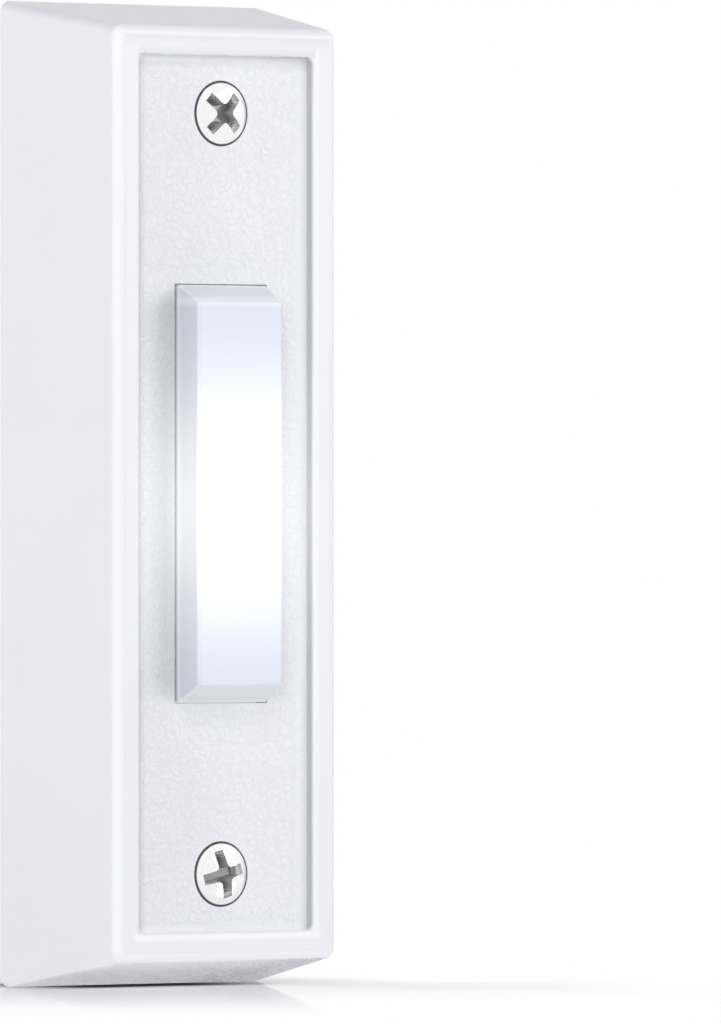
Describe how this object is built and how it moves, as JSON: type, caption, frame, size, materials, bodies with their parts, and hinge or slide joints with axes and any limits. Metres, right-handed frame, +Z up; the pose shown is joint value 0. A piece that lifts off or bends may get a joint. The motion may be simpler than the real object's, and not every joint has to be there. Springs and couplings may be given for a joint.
{
  "type": "doorbell push button",
  "caption": "Lit doorbell push button: tapered white housing, tall bevelled push bar in a grained recessed panel, wall screws above and below, switch and lamp inside.",
  "frame": {"origin": "centre of the housing's open back, in the plane of the wall", "axes": "+X to the right seen from the front, +Y into the wall, +Z up along the housing's length"},
  "size_m": [0.0272, 0.0346, 0.0826],
  "materials": {
    "housing_white": "satin, recessed panel with leather grain",
    "bar_lens": "translucent, lit from inside",
    "base_plastic": "phenolic board",
    "spring_bronze": "spring bronze",
    "contact_silver": "polished silver alloy",
    "strip_brass": "stamped brass",
    "board_green": "solder mask",
    "lamp_epoxy": "clear epoxy",
    "diode_black": "moulded body",
    "resistor_tan": "lacquered body",
    "screw_steel": "zinc plated",
    "spring_steel": "music wire",
    "tinned_wire": "tinned copper",
    "wire_cover": "PVC",
    "solder": "bright solder"
  },
  "bodies": {
    "housing_body": {"contact_leaf": "spring_bronze", "contact_rivet_left": "strip_brass", "contact_rivet_right": "strip_brass", "diode_lead_left": "tinned_wire", "diode_lead_right": "tinned_wire", "fixed_contact": "contact_silver", "fixed_contact_strip": "strip_brass", "housing": "housing_white", "jumper_wire_left": "wire_cover", "jumper_wire_right": "wire_cover", "lamp_lead_left": "tinned_wire", "lamp_lead_right": "tinned_wire", "led_board": "board_green", "led_lamp": "lamp_epoxy", "mounting_screw_lower": "screw_steel", "mounting_screw_upper": "screw_steel", "rectifier_diode": "diode_black", "resistor": "resistor_tan", "resistor_lead_left": "tinned_wire", "resistor_lead_right": "tinned_wire", "return_spring_lower": "spring_steel", "return_spring_upper": "spring_steel", "solder_diode_left": "solder", "solder_diode_right": "solder", "solder_lamp_left": "solder", "solder_lamp_right": "solder", "solder_resistor_left": "solder", "solder_resistor_right": "solder", "solder_rivet_left": "solder", "solder_rivet_right": "solder", "solder_wire_left": "solder", "solder_wire_right": "solder", "switch_base": "base_plastic", "terminal_plate_left": "strip_brass", "terminal_plate_right": "strip_brass", "terminal_screw_left": "screw_steel", "terminal_screw_right": "screw_steel", "wire_washer_left": "screw_steel", "wire_washer_right": "screw_steel"},
    "bar_body": {"push_bar": "bar_lens", "leaf_contact": "contact_silver"}
  },
  "joints": [
    {"name": "bar_press", "type": "slide", "parent": "housing_body", "child": "bar_body", "axis": [0, 1, 0], "range_m": [0, 0.001], "stiffness_N_per_m": 600, "springref_m": -0.002, "deforming": ["return_spring_upper", "return_spring_lower", "contact_leaf"]}
  ]
}
